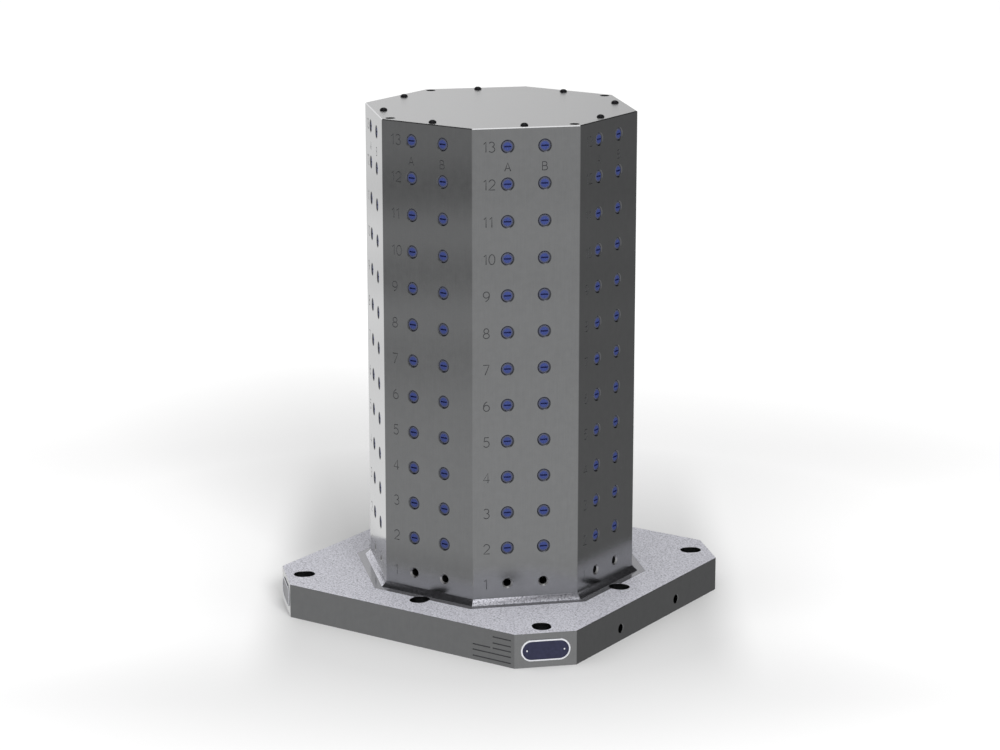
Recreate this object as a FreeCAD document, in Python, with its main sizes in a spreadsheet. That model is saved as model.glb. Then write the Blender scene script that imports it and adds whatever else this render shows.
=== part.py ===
import FreeCAD, Part
import math
import os
import Sketcher

# A fixture tower for a horizontal machining centre. One hollow iron casting
# makes the square base and the eight-sided column on it. Every face of the
# column has two columns of fixture holes, A on the left and B on the right.
# The lowest hole of each column is open, and a slotted plug keeps chips out of
# each of the others. A screwed-on cover closes the top.
# The origin is the centre of the underside, the base's sides lie along X and Y,
# and all lengths are in millimetres.

DRIVING_SIZES = [
    ("base_side", 492.0),
    ("base_thickness", 47.5),
    ("corner_cut", 59.5),
    ("column_flats", 350.0),
    ("column_wall", 30.0),
    ("foot_bevel", 7.0),
    ("row_count", 13),
    ("row_pitch", 50.0),
    ("first_row_height", 75.0),
    ("top_margin", 25.0),
    ("hole_column_spacing", 50.0),
    ("plug_bore_flats", 15.2),
    ("plug_bore_depth", 20.0),
    ("plug_clearance", 0.15),
    ("plug_length", 12.0),
    ("plug_recess", 1.2),
    ("open_hole_diameter", 10.4),
    ("open_hole_depth", 24.0),
    ("pallet_slot_edge_distance", 48.0),
    ("pallet_slot_width", 25.0),
    ("pallet_slot_length", 29.5),
    ("side_hole_spacing", 148.0),
    ("side_hole_height", 17.5),
    ("side_hole_diameter", 12.4),
    ("side_hole_depth", 32.0),
    ("cover_thickness", 6.0),
    ("cover_edge_chamfer", 2.2),
    ("lifting_hole_corner_distance", 13.4),
    ("lifting_hole_diameter", 12.5),
    ("lifting_thread_flats", 10.2),
    ("lifting_thread_depth", 25.0),
    ("screw_edge_distance", 14.0),
    ("screw_shank_flats", 5.8),
    ("screw_shank_length", 16.0),
    ("screw_head_flats", 10.5),
    ("screw_head_height", 3.3),
    ("screw_clearance", 0.4),
    ("screw_thread_clearance", 0.1),
    ("nameplate_length", 67.0),
    ("nameplate_height", 29.5),
    ("nameplate_thickness", 1.2),
    ("nameplate_corner_cut", 8.6),
]

COLUMN_FACES = 8
BASE_SIDES = 4
COLUMN_FACE_TURN = 360.0 / COLUMN_FACES

# The plugged bores, the plugs, the cover's screws and their holes are many and
# small, so they are drawn with six sides that hold the round section's area.
LIGHT_SIDES = 6

COLUMN_HEIGHT = (
    "sizes.first_row_height + (sizes.row_count - 1) * sizes.row_pitch"
    " + sizes.top_margin - sizes.cover_thickness - sizes.base_thickness"
)
COVER_SEAT = "sizes.base_thickness + " + COLUMN_HEIGHT
COVER_TOP = COVER_SEAT + " + sizes.cover_thickness"
COLUMN_FACE = "sizes.column_flats / 2"
COLUMN_CORNER = "sizes.column_flats / 2 / cos(%g deg)" % (COLUMN_FACE_TURN / 2)
CORNER_FACE = "sqrt(2) * (sizes.base_side / 2 - sizes.corner_cut / 2)"
SLOT_PITCH = "sizes.base_side / 2 - sizes.pallet_slot_edge_distance"
SCREW_CIRCLE = COLUMN_FACE + " - sizes.screw_edge_distance"
SECOND_ROW = "sizes.first_row_height + sizes.row_pitch"
PLUGGED_ROWS = "sizes.row_count - 1"

doc = FreeCAD.newDocument("fixture_tower")


def make_sheet():
    """The driving sizes, one a row, each under its own name."""
    sheet = doc.addObject("Spreadsheet::Sheet", "sizes")
    for row, (name, number) in enumerate(DRIVING_SIZES, start=1):
        sheet.set("A%d" % row, name)
        sheet.set("B%d" % row, str(number))
        sheet.setAlias("B%d" % row, name)
    doc.recompute()
    return sheet


sheet = make_sheet()


def number(expression):
    """What an expression of the sheet's sizes comes to."""
    return float(sheet.evalExpression(expression))


def new_body(label):
    body = doc.addObject("PartDesign::Body", label)
    body.Label = label
    body.AllowCompound = True
    return body


def origin_feature(body, role):
    """One of the body's own planes or axes."""
    for feature in body.Origin.OriginFeatures:
        if feature.Role == role:
            return feature


def new_sketch(body, name, plane, along="0", up="0", out="0", turn=0.0):
    """A sketch on an origin plane, whose own origin is moved along the plane's
    two axes and out along its normal, and turned by some degrees."""
    sketch = body.newObject("Sketcher::SketchObject", name)
    sketch.AttachmentSupport = (origin_feature(body, plane), [""])
    sketch.MapMode = "FlatFace"
    spin = FreeCAD.Rotation(FreeCAD.Vector(0, 0, 1), turn)
    sketch.AttachmentOffset = FreeCAD.Placement(FreeCAD.Vector(), spin)
    sketch.setExpression("AttachmentOffset.Base.x", along)
    sketch.setExpression("AttachmentOffset.Base.y", up)
    sketch.setExpression("AttachmentOffset.Base.z", out)
    return sketch


def close_loop(sketch, edges):
    """Joins the end of each edge to the start of the next."""
    for edge, following in zip(edges, edges[1:] + edges[:1]):
        sketch.addConstraint(Sketcher.Constraint("Coincident", edge, 2, following, 1))


def draw_polygon(sketch, sides, across_flats):
    """A regular polygon about the sketch's origin, one flat square to its X."""
    step = 2 * math.pi / sides
    radius = "(%s) / 2 / cos(%.12g deg)" % (across_flats, 180.0 / sides)
    reach = number(radius)
    corners = []
    for corner in range(sides):
        angle = (corner - 0.5) * step
        corners.append(FreeCAD.Vector(reach * math.cos(angle), reach * math.sin(angle), 0))
    edges = []
    for start, end in zip(corners, corners[1:] + corners[:1]):
        edges.append(sketch.addGeometry(Part.LineSegment(start, end), False))
    middle = FreeCAD.Vector(0, 0, 0)
    normal = FreeCAD.Vector(0, 0, 1)
    circle = sketch.addGeometry(Part.Circle(middle, normal, reach), True)
    close_loop(sketch, edges)
    for edge in edges:
        sketch.addConstraint(Sketcher.Constraint("PointOnObject", edge, 1, circle))
    for edge in edges[1:]:
        sketch.addConstraint(Sketcher.Constraint("Equal", edges[0], edge))
    sketch.addConstraint(Sketcher.Constraint("Vertical", edges[0]))
    sketch.addConstraint(Sketcher.Constraint("Coincident", circle, 3, -1, 1))
    size = sketch.addConstraint(Sketcher.Constraint("Radius", circle, reach))
    sketch.setExpression("Constraints[%d]" % size, radius)


def draw_rectangle(sketch, width, height):
    """A rectangle about the sketch's origin."""
    across = number(width) / 2
    up = number(height) / 2
    places = [(-across, -up), (across, -up), (across, up), (-across, up)]
    corners = [FreeCAD.Vector(x, y, 0) for x, y in places]
    edges = []
    for start, end in zip(corners, corners[1:] + corners[:1]):
        edges.append(sketch.addGeometry(Part.LineSegment(start, end), False))
    close_loop(sketch, edges)
    bottom, right, top, left = edges
    sketch.addConstraint(Sketcher.Constraint("Horizontal", bottom))
    sketch.addConstraint(Sketcher.Constraint("Horizontal", top))
    sketch.addConstraint(Sketcher.Constraint("Vertical", right))
    sketch.addConstraint(Sketcher.Constraint("Vertical", left))
    sketch.addConstraint(Sketcher.Constraint("Symmetric", bottom, 1, top, 1, -1, 1))
    run = sketch.addConstraint(Sketcher.Constraint("Distance", bottom, 2 * across))
    sketch.setExpression("Constraints[%d]" % run, width)
    rise = sketch.addConstraint(Sketcher.Constraint("Distance", right, 2 * up))
    sketch.setExpression("Constraints[%d]" % rise, height)


def draw_circle(sketch, diameter):
    """A circle about the sketch's origin."""
    middle = FreeCAD.Vector(0, 0, 0)
    normal = FreeCAD.Vector(0, 0, 1)
    across = number(diameter)
    circle = sketch.addGeometry(Part.Circle(middle, normal, across / 2), False)
    sketch.addConstraint(Sketcher.Constraint("Coincident", circle, 3, -1, 1))
    size = sketch.addConstraint(Sketcher.Constraint("Diameter", circle, across))
    sketch.setExpression("Constraints[%d]" % size, diameter)


def draw_slot(sketch, width, length):
    """A slot with round ends about the sketch's origin, lengthwise along X."""
    radius = number(width) / 2
    reach = number(length) / 2 - radius
    normal = FreeCAD.Vector(0, 0, 1)
    quarter = math.pi / 2
    ends = []
    for side, first in ((1, -quarter), (-1, quarter)):
        whole = Part.Circle(FreeCAD.Vector(side * reach, 0, 0), normal, radius)
        arc = Part.ArcOfCircle(whole, first, first + math.pi)
        ends.append(sketch.addGeometry(arc, False))
    right, left = ends
    top = sketch.addGeometry(
        Part.LineSegment(FreeCAD.Vector(reach, radius, 0), FreeCAD.Vector(-reach, radius, 0)), False
    )
    bottom = sketch.addGeometry(
        Part.LineSegment(FreeCAD.Vector(-reach, -radius, 0), FreeCAD.Vector(reach, -radius, 0)), False
    )
    loop = [right, top, left, bottom]
    for edge, following in zip(loop, loop[1:] + loop[:1]):
        sketch.addConstraint(Sketcher.Constraint("Tangent", edge, 2, following, 1))
    sketch.addConstraint(Sketcher.Constraint("Equal", right, left))
    sketch.addConstraint(Sketcher.Constraint("Symmetric", right, 3, left, 3, -1, 1))
    sketch.addConstraint(Sketcher.Constraint("Horizontal", top))
    half_width = sketch.addConstraint(Sketcher.Constraint("Radius", right, radius))
    sketch.setExpression("Constraints[%d]" % half_width, "(%s) / 2" % width)
    run = sketch.addConstraint(Sketcher.Constraint("Distance", top, 2 * reach))
    sketch.setExpression("Constraints[%d]" % run, "(%s) - (%s)" % (length, width))


def pad(body, sketch, name, length, inward=False):
    """A pad along the sketch's normal, or against it."""
    feature = body.newObject("PartDesign::Pad", name)
    feature.Profile = sketch
    feature.Reversed = inward
    feature.setExpression("Length", length)
    return feature


def pocket(body, sketch, name, depth=None, outward=False):
    """A pocket against the sketch's normal, or along it; with no depth it goes
    through everything."""
    feature = body.newObject("PartDesign::Pocket", name)
    feature.Profile = sketch
    feature.Reversed = outward
    if depth is None:
        feature.Type = "ThroughAll"
    else:
        feature.setExpression("Length", depth)
    return feature


def chamfer(body, base, name, edges, size):
    feature = body.newObject("PartDesign::Chamfer", name)
    feature.Base = (base, edges)
    feature.setExpression("Size", size)
    return feature


def linear_step(pattern, sketch, axis, count, pitch):
    """Copies of a feature along one axis of its sketch."""
    pattern.Direction = (sketch, [axis])
    pattern.Mode = "Spacing"
    pattern.setExpression("Offset", pitch)
    pattern.setExpression("Occurrences", count)


def polar_pattern(body, features, name, count):
    """Copies of some features, evenly spaced about the upright axis."""
    pattern = body.newObject("PartDesign::PolarPattern", name)
    pattern.Originals = features
    pattern.Axis = (origin_feature(body, "Z_Axis"), [""])
    pattern.Angle = 360
    pattern.Occurrences = count
    body.Tip = pattern
    return pattern


def all_faces_pattern(body, feature, sketch, name, rows=None):
    """Copies of one hole on a face: up its column, across to the other column,
    and round all the faces."""
    pattern = body.newObject("PartDesign::MultiTransform", name)
    pattern.Originals = [feature]
    steps = []
    if rows is not None:
        up = body.newObject("PartDesign::LinearPattern", name + "_up")
        linear_step(up, sketch, "V_Axis", rows, "sizes.row_pitch")
        steps.append(up)
    across = body.newObject("PartDesign::LinearPattern", name + "_across")
    linear_step(across, sketch, "H_Axis", "2", "sizes.hole_column_spacing")
    steps.append(across)
    around = body.newObject("PartDesign::PolarPattern", name + "_around")
    around.Axis = (origin_feature(body, "Z_Axis"), [""])
    around.Angle = 360
    around.Occurrences = COLUMN_FACES
    steps.append(around)
    pattern.Transformations = steps
    body.Tip = pattern
    return pattern


def edges_where(feature, wanted):
    """Names of the feature's edges whose two ends both pass a test."""
    names = []
    for count, edge in enumerate(feature.Shape.Edges, start=1):
        if all(wanted(vertex.Point) for vertex in edge.Vertexes):
            names.append("Edge%d" % count)
    return names


def edges_along(feature, direction):
    """Names of the feature's straight edges that run along one direction."""
    names = []
    for count, edge in enumerate(feature.Shape.Edges, start=1):
        start, end = [vertex.Point for vertex in edge.Vertexes]
        run = end - start
        if abs(run.dot(direction)) > 0.999 * run.Length:
            names.append("Edge%d" % count)
    return names


def add_base(body):
    """The square base, with its four corners cut off."""
    outline = new_sketch(body, "base_outline", "XY_Plane")
    draw_rectangle(outline, "sizes.base_side", "sizes.base_side")
    slab = pad(body, outline, "base_slab", "sizes.base_thickness")
    doc.recompute()
    upright = edges_along(slab, FreeCAD.Vector(0, 0, 1))
    chamfer(body, slab, "base_corners", upright, "sizes.corner_cut")


def add_column(body):
    """The eight-sided column, and the mitred bevel where it meets the base."""
    section = new_sketch(body, "column_section", "XY_Plane", out="sizes.base_thickness")
    draw_polygon(section, COLUMN_FACES, "sizes.column_flats")
    pad(body, section, "column", COLUMN_HEIGHT)
    toe = new_sketch(body, "bevel_toe", "XY_Plane", out="sizes.base_thickness")
    draw_polygon(toe, COLUMN_FACES, "sizes.column_flats + 2 * sizes.foot_bevel")
    heel = new_sketch(
        body, "bevel_heel", "XY_Plane", out="sizes.base_thickness + sizes.foot_bevel"
    )
    draw_polygon(heel, COLUMN_FACES, "sizes.column_flats")
    bevel = body.newObject("PartDesign::AdditiveLoft", "foot_bevel")
    bevel.Profile = toe
    bevel.Sections = [heel]
    bevel.Ruled = True


def cut_core(body):
    """The cored hollow, open at both ends of the casting."""
    section = new_sketch(body, "core_section", "XY_Plane")
    draw_polygon(section, COLUMN_FACES, "sizes.column_flats - 2 * sizes.column_wall")
    pocket(body, section, "core", outward=True)


def cut_face_holes(body):
    """The plugged bores of the upper rows and the open tapped holes of row 1."""
    column_a = "-sizes.hole_column_spacing / 2"
    bore = new_sketch(body, "plug_bore_outline", "XZ_Plane", column_a, SECOND_ROW, COLUMN_FACE)
    draw_polygon(bore, LIGHT_SIDES, "sizes.plug_bore_flats")
    first_bore = pocket(body, bore, "plug_bore", "sizes.plug_bore_depth")
    all_faces_pattern(body, first_bore, bore, "plug_bores", PLUGGED_ROWS)
    tapped = new_sketch(
        body, "open_hole_outline", "XZ_Plane", column_a, "sizes.first_row_height", COLUMN_FACE
    )
    draw_circle(tapped, "sizes.open_hole_diameter")
    first_open = pocket(body, tapped, "open_hole", "sizes.open_hole_depth")
    all_faces_pattern(body, first_open, tapped, "open_holes")


def cut_pallet_slots(body):
    """Eight slots for the bolts to the machine's pallet, all lengthwise to the
    axis: one behind each corner and one at the middle of each side."""
    slots = []
    places = (("side_slot", "0", 0.0), ("corner_slot", SLOT_PITCH, 45.0))
    for name, across, turn in places:
        outline = new_sketch(body, name + "_outline", "XY_Plane", SLOT_PITCH, across, "0", turn)
        draw_slot(outline, "sizes.pallet_slot_width", "sizes.pallet_slot_length")
        slot = pocket(body, outline, name, "sizes.base_thickness", outward=True)
        slots.append(slot)
    polar_pattern(body, slots, "pallet_slots", BASE_SIDES)


def lifting_hole_place():
    """Where the first lifting hole is, behind a corner of the column."""
    corner = 1.5 * COLUMN_FACE_TURN
    reach = "(%s - sizes.lifting_hole_corner_distance)" % COLUMN_CORNER
    return reach + " * cos(%g deg)" % corner, reach + " * sin(%g deg)" % corner


def cut_top_holes(body):
    """Tapped holes in the column's rim, for the cover's screws and for lifting."""
    screw = new_sketch(
        body, "screw_thread_outline", "XY_Plane", SCREW_CIRCLE, "0", COVER_SEAT
    )
    across = "sizes.screw_shank_flats + 2 * sizes.screw_thread_clearance"
    draw_polygon(screw, LIGHT_SIDES, across)
    depth = "sizes.screw_shank_length - sizes.cover_thickness + sizes.screw_clearance"
    first_screw = pocket(body, screw, "screw_thread", depth)
    polar_pattern(body, [first_screw], "screw_threads", COLUMN_FACES)
    along, up = lifting_hole_place()
    lifting = new_sketch(body, "lifting_thread_outline", "XY_Plane", along, up, COVER_SEAT)
    draw_polygon(lifting, LIGHT_SIDES, "sizes.lifting_thread_flats")
    first_lifting = pocket(body, lifting, "lifting_thread", "sizes.lifting_thread_depth")
    polar_pattern(body, [first_lifting], "lifting_threads", BASE_SIDES)


def cut_side_holes(body):
    """Two plain holes in the base's +X side."""
    for name, side in (("near_side_hole", "-1"), ("far_side_hole", "1")):
        along = side + " * sizes.side_hole_spacing / 2"
        outline = new_sketch(
            body, name + "_outline", "YZ_Plane", along, "sizes.side_hole_height", "sizes.base_side / 2"
        )
        draw_circle(outline, "sizes.side_hole_diameter")
        pocket(body, outline, name, "sizes.side_hole_depth")


def make_casting():
    """The one-piece iron casting, bored and tapped."""
    body = new_body("column_casting")
    add_base(body)
    add_column(body)
    cut_core(body)
    cut_pallet_slots(body)
    cut_top_holes(body)
    cut_side_holes(body)
    cut_face_holes(body)
    return body


def make_cover():
    """The cover plate, flush with the column, its upper edge chamfered."""
    body = new_body("cover_plate")
    outline = new_sketch(body, "cover_outline", "XY_Plane", out=COVER_SEAT)
    draw_polygon(outline, COLUMN_FACES, "sizes.column_flats")
    plate = pad(body, outline, "plate", "sizes.cover_thickness")
    doc.recompute()
    level = number(COVER_TOP)
    upper = edges_where(plate, lambda point: abs(point.z - level) < 0.01)
    chamfer(body, plate, "plate_edge", upper, "sizes.cover_edge_chamfer")
    screw = new_sketch(body, "screw_hole_outline", "XY_Plane", SCREW_CIRCLE, "0", COVER_TOP)
    across = "sizes.screw_shank_flats + 2 * sizes.screw_clearance"
    draw_polygon(screw, LIGHT_SIDES, across)
    first_screw = pocket(body, screw, "screw_hole", "sizes.cover_thickness")
    polar_pattern(body, [first_screw], "screw_holes", COLUMN_FACES)
    along, up = lifting_hole_place()
    lifting = new_sketch(body, "lifting_hole_outline", "XY_Plane", along, up, COVER_TOP)
    draw_circle(lifting, "sizes.lifting_hole_diameter")
    first_lifting = pocket(body, lifting, "lifting_hole", "sizes.cover_thickness")
    polar_pattern(body, [first_lifting], "lifting_holes", BASE_SIDES)
    return body


def make_cover_screws():
    """One button-head screw at the middle of each edge of the cover."""
    body = new_body("cover_screws")
    head = new_sketch(body, "head_outline", "XY_Plane", SCREW_CIRCLE, "0", COVER_TOP)
    draw_polygon(head, LIGHT_SIDES, "sizes.screw_head_flats")
    first_head = pad(body, head, "head", "sizes.screw_head_height")
    shank = new_sketch(body, "shank_outline", "XY_Plane", SCREW_CIRCLE, "0", COVER_TOP)
    draw_polygon(shank, LIGHT_SIDES, "sizes.screw_shank_flats")
    first_shank = pad(body, shank, "shank", "sizes.screw_shank_length", inward=True)
    polar_pattern(body, [first_head, first_shank], "screws", COLUMN_FACES)
    return body


def make_plugs(face, column):
    """The plugs of one column of holes on one face, modelled on the face that
    looks along -Y and turned to their own face."""
    body = new_body("plugs_face_%d_%s" % (face + 1, column))
    side = {"a": "-1", "b": "1"}[column]
    along = side + " * sizes.hole_column_spacing / 2"
    out = COLUMN_FACE + " - sizes.plug_recess"
    outline = new_sketch(body, "plug_outline", "XZ_Plane", along, SECOND_ROW, out)
    draw_polygon(outline, LIGHT_SIDES, "sizes.plug_bore_flats - 2 * sizes.plug_clearance")
    plug = pad(body, outline, "plug", "sizes.plug_length", inward=True)
    row = body.newObject("PartDesign::LinearPattern", "plug_row")
    row.Originals = [plug]
    linear_step(row, outline, "V_Axis", PLUGGED_ROWS, "sizes.row_pitch")
    body.Tip = row
    turn = FreeCAD.Rotation(FreeCAD.Vector(0, 0, 1), face * COLUMN_FACE_TURN)
    body.Placement = FreeCAD.Placement(FreeCAD.Vector(), turn)
    return body


def make_nameplate(label, turn):
    """A thin plate with cut corners on a cut corner of the base, modelled as if
    that corner looked along -Y and turned to its place."""
    body = new_body(label)
    outline = new_sketch(
        body, "plate_outline", "XZ_Plane", "0", "sizes.base_thickness / 2", CORNER_FACE
    )
    draw_rectangle(outline, "sizes.nameplate_length", "sizes.nameplate_height")
    plate = pad(body, outline, "plate", "sizes.nameplate_thickness")
    doc.recompute()
    corners = edges_along(plate, FreeCAD.Vector(0, 1, 0))
    chamfer(body, plate, "plate_corners", corners, "sizes.nameplate_corner_cut")
    spin = FreeCAD.Rotation(FreeCAD.Vector(0, 0, 1), turn)
    body.Placement = FreeCAD.Placement(FreeCAD.Vector(), spin)
    return body


def make_all():
    bodies = [make_casting(), make_cover(), make_cover_screws()]
    bodies.append(make_nameplate("nameplate_front", COLUMN_FACE_TURN))
    bodies.append(make_nameplate("nameplate_left", -COLUMN_FACE_TURN))
    for face in range(COLUMN_FACES):
        for column in ("a", "b"):
            bodies.append(make_plugs(face, column))
    return bodies


def check_document():
    """Stops at the first object that failed."""
    for item in doc.Objects:
        if "Invalid" in item.State or "Error" in item.State:
            raise RuntimeError("%s failed: %s" % (item.Name, item.State))


def write_parts(bodies):
    os.makedirs("parts", exist_ok=True)
    for body in bodies:
        shape = body.Shape
        if shape.isNull() or not shape.isValid():
            raise RuntimeError("%s has no valid shape" % body.Label)
        print("%-18s %3d solids %12.1f mm3" % (body.Label, len(shape.Solids), shape.Volume))
    for body in bodies:
        body.Shape.exportStep(os.path.join("parts", body.Label + ".step"))


bodies = make_all()
doc.recompute()
check_document()
write_parts(bodies)
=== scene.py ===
# %% [markdown]
# # A fixture tower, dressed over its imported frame
# A fixture tower carries workpieces in a horizontal milling machine. This one is
# a single iron casting: a square base with cut corners, and an eight-sided
# column whose faces hold two columns of numbered holes. Blue plugs close all
# holes but the lowest ones, and a ground cover is screwed to the top.
#
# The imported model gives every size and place, in metres, with Z up. Each new
# piece below stands exactly where its plain solid does.

# %% Load the frame
import math

import bpy
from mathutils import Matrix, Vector


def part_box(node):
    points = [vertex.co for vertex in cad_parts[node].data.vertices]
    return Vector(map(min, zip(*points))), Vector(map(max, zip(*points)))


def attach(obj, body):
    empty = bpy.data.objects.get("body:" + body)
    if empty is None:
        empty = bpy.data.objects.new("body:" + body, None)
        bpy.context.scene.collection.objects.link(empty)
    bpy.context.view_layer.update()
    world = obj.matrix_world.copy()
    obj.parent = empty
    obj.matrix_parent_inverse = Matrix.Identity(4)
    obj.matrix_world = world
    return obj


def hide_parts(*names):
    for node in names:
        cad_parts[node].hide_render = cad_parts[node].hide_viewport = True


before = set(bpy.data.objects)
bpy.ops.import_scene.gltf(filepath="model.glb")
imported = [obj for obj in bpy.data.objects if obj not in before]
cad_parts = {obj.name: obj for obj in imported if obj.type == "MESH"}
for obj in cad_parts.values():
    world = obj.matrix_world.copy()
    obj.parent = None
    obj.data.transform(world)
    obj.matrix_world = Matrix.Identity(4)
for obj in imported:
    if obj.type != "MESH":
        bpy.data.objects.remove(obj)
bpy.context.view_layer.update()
bpy.ops.object.select_all(action="DESELECT")

# %% [markdown]
# ## Sizes
# The outer sizes are read from the frame's nodes. The rest are the drawing's
# own numbers: a 50 mm hole grid, 16 mm bores, and small broken edges that no
# drawing shows but every real edge has. SLIGHT is the difference below which
# two places count as the same.

# %% Sizes in metres
MM = 0.001
SLIGHT = 1e-5
BASE_SIDES = 4
CORNER_TURN = math.pi / BASE_SIDES
FACES = 8
FACE_STEP = 2 * math.pi / FACES
HALF_STEP = FACE_STEP / 2

casting_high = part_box("column_casting")[1]
cover_low, cover_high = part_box("cover_plate")
BASE_HALF = casting_high.x
COLUMN_HALF = cover_high.x
COVER_SEAT = cover_low.z
COVER_TOP = cover_high.z
BASE_TOP = 47.5 * MM
CORNER_CUT = 59.5 * MM
FOOT_BEVEL = 7 * MM
FOOT = BASE_TOP + FOOT_BEVEL
EDGE_BREAK = 0.5 * MM
BASE_BREAK = 0.2 * MM

ROWS = 13
ROW_PITCH = 50 * MM
FIRST_ROW = 75 * MM
COLUMN_A = -25 * MM
COLUMN_B = 25 * MM
print("base", BASE_HALF, "column", COLUMN_HALF, "top", COVER_TOP)

# %% [markdown]
# ## Helpers for modelling by operator
# Blender's mesh operators act on whatever is selected. These few functions
# select one piece, or the parts of a piece whose points pass a test, so that
# each later step reads like a step done by hand.

# %% Select, settle, cut and copy
def activate(piece):
    """Makes one piece the only selected and the active one."""
    bpy.ops.object.select_all(action="DESELECT")
    piece.select_set(True)
    bpy.context.view_layer.objects.active = piece
    return piece


def settle(piece):
    """Puts a piece's place, turn and scale into its mesh."""
    activate(piece)
    bpy.ops.object.transform_apply(location=True, rotation=True, scale=True)
    return piece


def put(piece, place, turn=0.0):
    """Moves a piece, then turns it about the upright axis."""
    piece.location = place
    settle(piece)
    piece.rotation_euler.z = turn
    return settle(piece)


def pick(piece, kind, wanted):
    """Opens a piece with only those VERT, EDGE or FACE parts selected whose
    points pass the test."""
    activate(piece)
    bpy.ops.object.mode_set(mode="EDIT")
    bpy.ops.mesh.select_mode(type=kind)
    bpy.ops.mesh.select_all(action="DESELECT")
    bpy.ops.object.mode_set(mode="OBJECT")
    mesh = piece.data
    if kind == "VERT":
        for vertex in mesh.vertices:
            vertex.select = wanted([vertex.co])
    else:
        for part in mesh.edges if kind == "EDGE" else mesh.polygons:
            part.select = wanted([mesh.vertices[index].co for index in part.vertices])
    bpy.ops.object.mode_set(mode="EDIT")


def close():
    """Leaves edit mode."""
    bpy.ops.object.mode_set(mode="OBJECT")


def near(value, target):
    """True where two measures differ by rounding at most."""
    return abs(value - target) < SLIGHT


def upright(points):
    """True for an edge whose ends stand one above the other."""
    return near(points[0].x, points[1].x) and near(points[0].y, points[1].y)


def apply_modifier(piece, kind, **settings):
    """Adds a modifier with its settings and applies it."""
    modifier = piece.modifiers.new(kind.lower(), kind)
    for name, value in settings.items():
        setattr(modifier, name, value)
    activate(piece)
    bpy.ops.object.modifier_apply(modifier=modifier.name)


def combine(piece, tool, operation="DIFFERENCE", crossing=False):
    """Cuts the tool out of the piece, or joins it on, and drops the tool."""
    apply_modifier(
        piece, "BOOLEAN", object=tool, operation=operation,
        solver="EXACT", use_self=crossing,
    )
    bpy.data.objects.remove(tool)


def row_of(piece, count, step):
    """Repeats a piece count times, one step apart."""
    apply_modifier(
        piece, "ARRAY", count=count, use_relative_offset=False,
        use_constant_offset=True, constant_offset_displace=step,
    )


def copy_of(piece, name, turn=0.0):
    """A copy with its own mesh, turned about the upright axis."""
    activate(piece)
    bpy.ops.object.duplicate(linked=False)
    copy = bpy.context.object
    copy.name = name
    copy.rotation_euler.z = turn
    return settle(copy)


def join(pieces, name):
    """Makes one object of several."""
    activate(pieces[0])
    for piece in pieces:
        piece.select_set(True)
    bpy.ops.object.join()
    pieces[0].name = name
    return pieces[0]


def around(piece, count, name):
    """Turns copies of a piece evenly round the axis and joins them all."""
    copies = [
        copy_of(piece, "%s_%d" % (name, step), step * 2 * math.pi / count)
        for step in range(1, count)
    ]
    return join([piece] + copies, name)


# %% [markdown]
# ## Two starting forms
# Nearly all of the tower is either a box or something turned. `turned_form`
# starts from a disc, extrudes it from ring to ring and scales each ring, which
# is how a bore, a chamfered plate or a screw head is drawn by hand.

# %% A box and a turned form
def box_form(name, low, high):
    """A box between two corners."""
    low, high = Vector(low), Vector(high)
    bpy.ops.mesh.primitive_cube_add(size=1, location=(low + high) / 2)
    piece = bpy.context.object
    piece.name = name
    piece.scale = high - low
    return settle(piece)


def turned_form(name, rings, sides, turn=0.0):
    """A form about the Z axis through rings of (height, radius), in metres."""
    height, radius = rings[0]
    bpy.ops.mesh.primitive_circle_add(
        vertices=sides, radius=radius, fill_type="NGON",
        location=(0, 0, height), rotation=(0, 0, turn),
    )
    piece = bpy.context.object
    piece.name = name
    settle(piece)
    bpy.ops.object.mode_set(mode="EDIT")
    bpy.ops.mesh.select_mode(type="FACE")
    bpy.ops.mesh.select_all(action="SELECT")
    for next_height, next_radius in rings[1:]:
        rise = (0, 0, next_height - height)
        bpy.ops.mesh.extrude_region_move(TRANSFORM_OT_translate={"value": rise})
        ratio = next_radius / radius
        bpy.ops.transform.resize(value=(ratio, ratio, 1))
        height, radius = next_height, next_radius
    bpy.ops.mesh.select_all(action="SELECT")
    bpy.ops.mesh.normals_make_consistent(inside=False)
    close()
    return piece


def face_outwards(piece, x, y, z):
    """Lays a form's Z axis along -Y, the way column face 1 looks, and moves it."""
    piece.rotation_euler.x = math.pi / 2
    piece.location = (x, y, z)
    return settle(piece)


def octagon(name, rings):
    """An eight-sided form whose flats look along X, Y and the diagonals; each
    ring is (height, distance of the flats from the axis)."""
    corner = 1 / math.cos(HALF_STEP)
    return turned_form(name, [(z, flat * corner) for z, flat in rings], FACES, HALF_STEP)


# %% [markdown]
# ## One face of the column
# All eight faces are alike, so one panel is made in full and copied. It starts
# as a slab that is thicker than the bores are deep. The bores are 16 mm with a
# 45 degree chamfer. The two open holes of row 1 show a tapped thread, which is
# drawn as rings: at this size a ring and a true helix look the same.

# %% The cutters for the bores and the tapped holes
BORE_SIDES = 32
BORE_RADIUS = 8 * MM
BORE_CHAMFER = 1.25 * MM
BORE_DEPTH = 20 * MM
THREAD_INNER = 5.2 * MM
THREAD_OUTER = 5.9 * MM
THREAD_PITCH = 1.75 * MM
THREAD_RINGS = 8
THREAD_DEPTH = 24 * MM
MOUTH_RADIUS = 7.2 * MM


def flared(depth, radius, mouth):
    """The two rings of a mouth that opens at 45 degrees to its radius at the
    face and runs 1 mm past it. No ring lies in the face itself, where a Boolean
    would leave slivers."""
    return [(depth - (mouth - radius), radius), (depth + MM, mouth + MM)]


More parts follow.
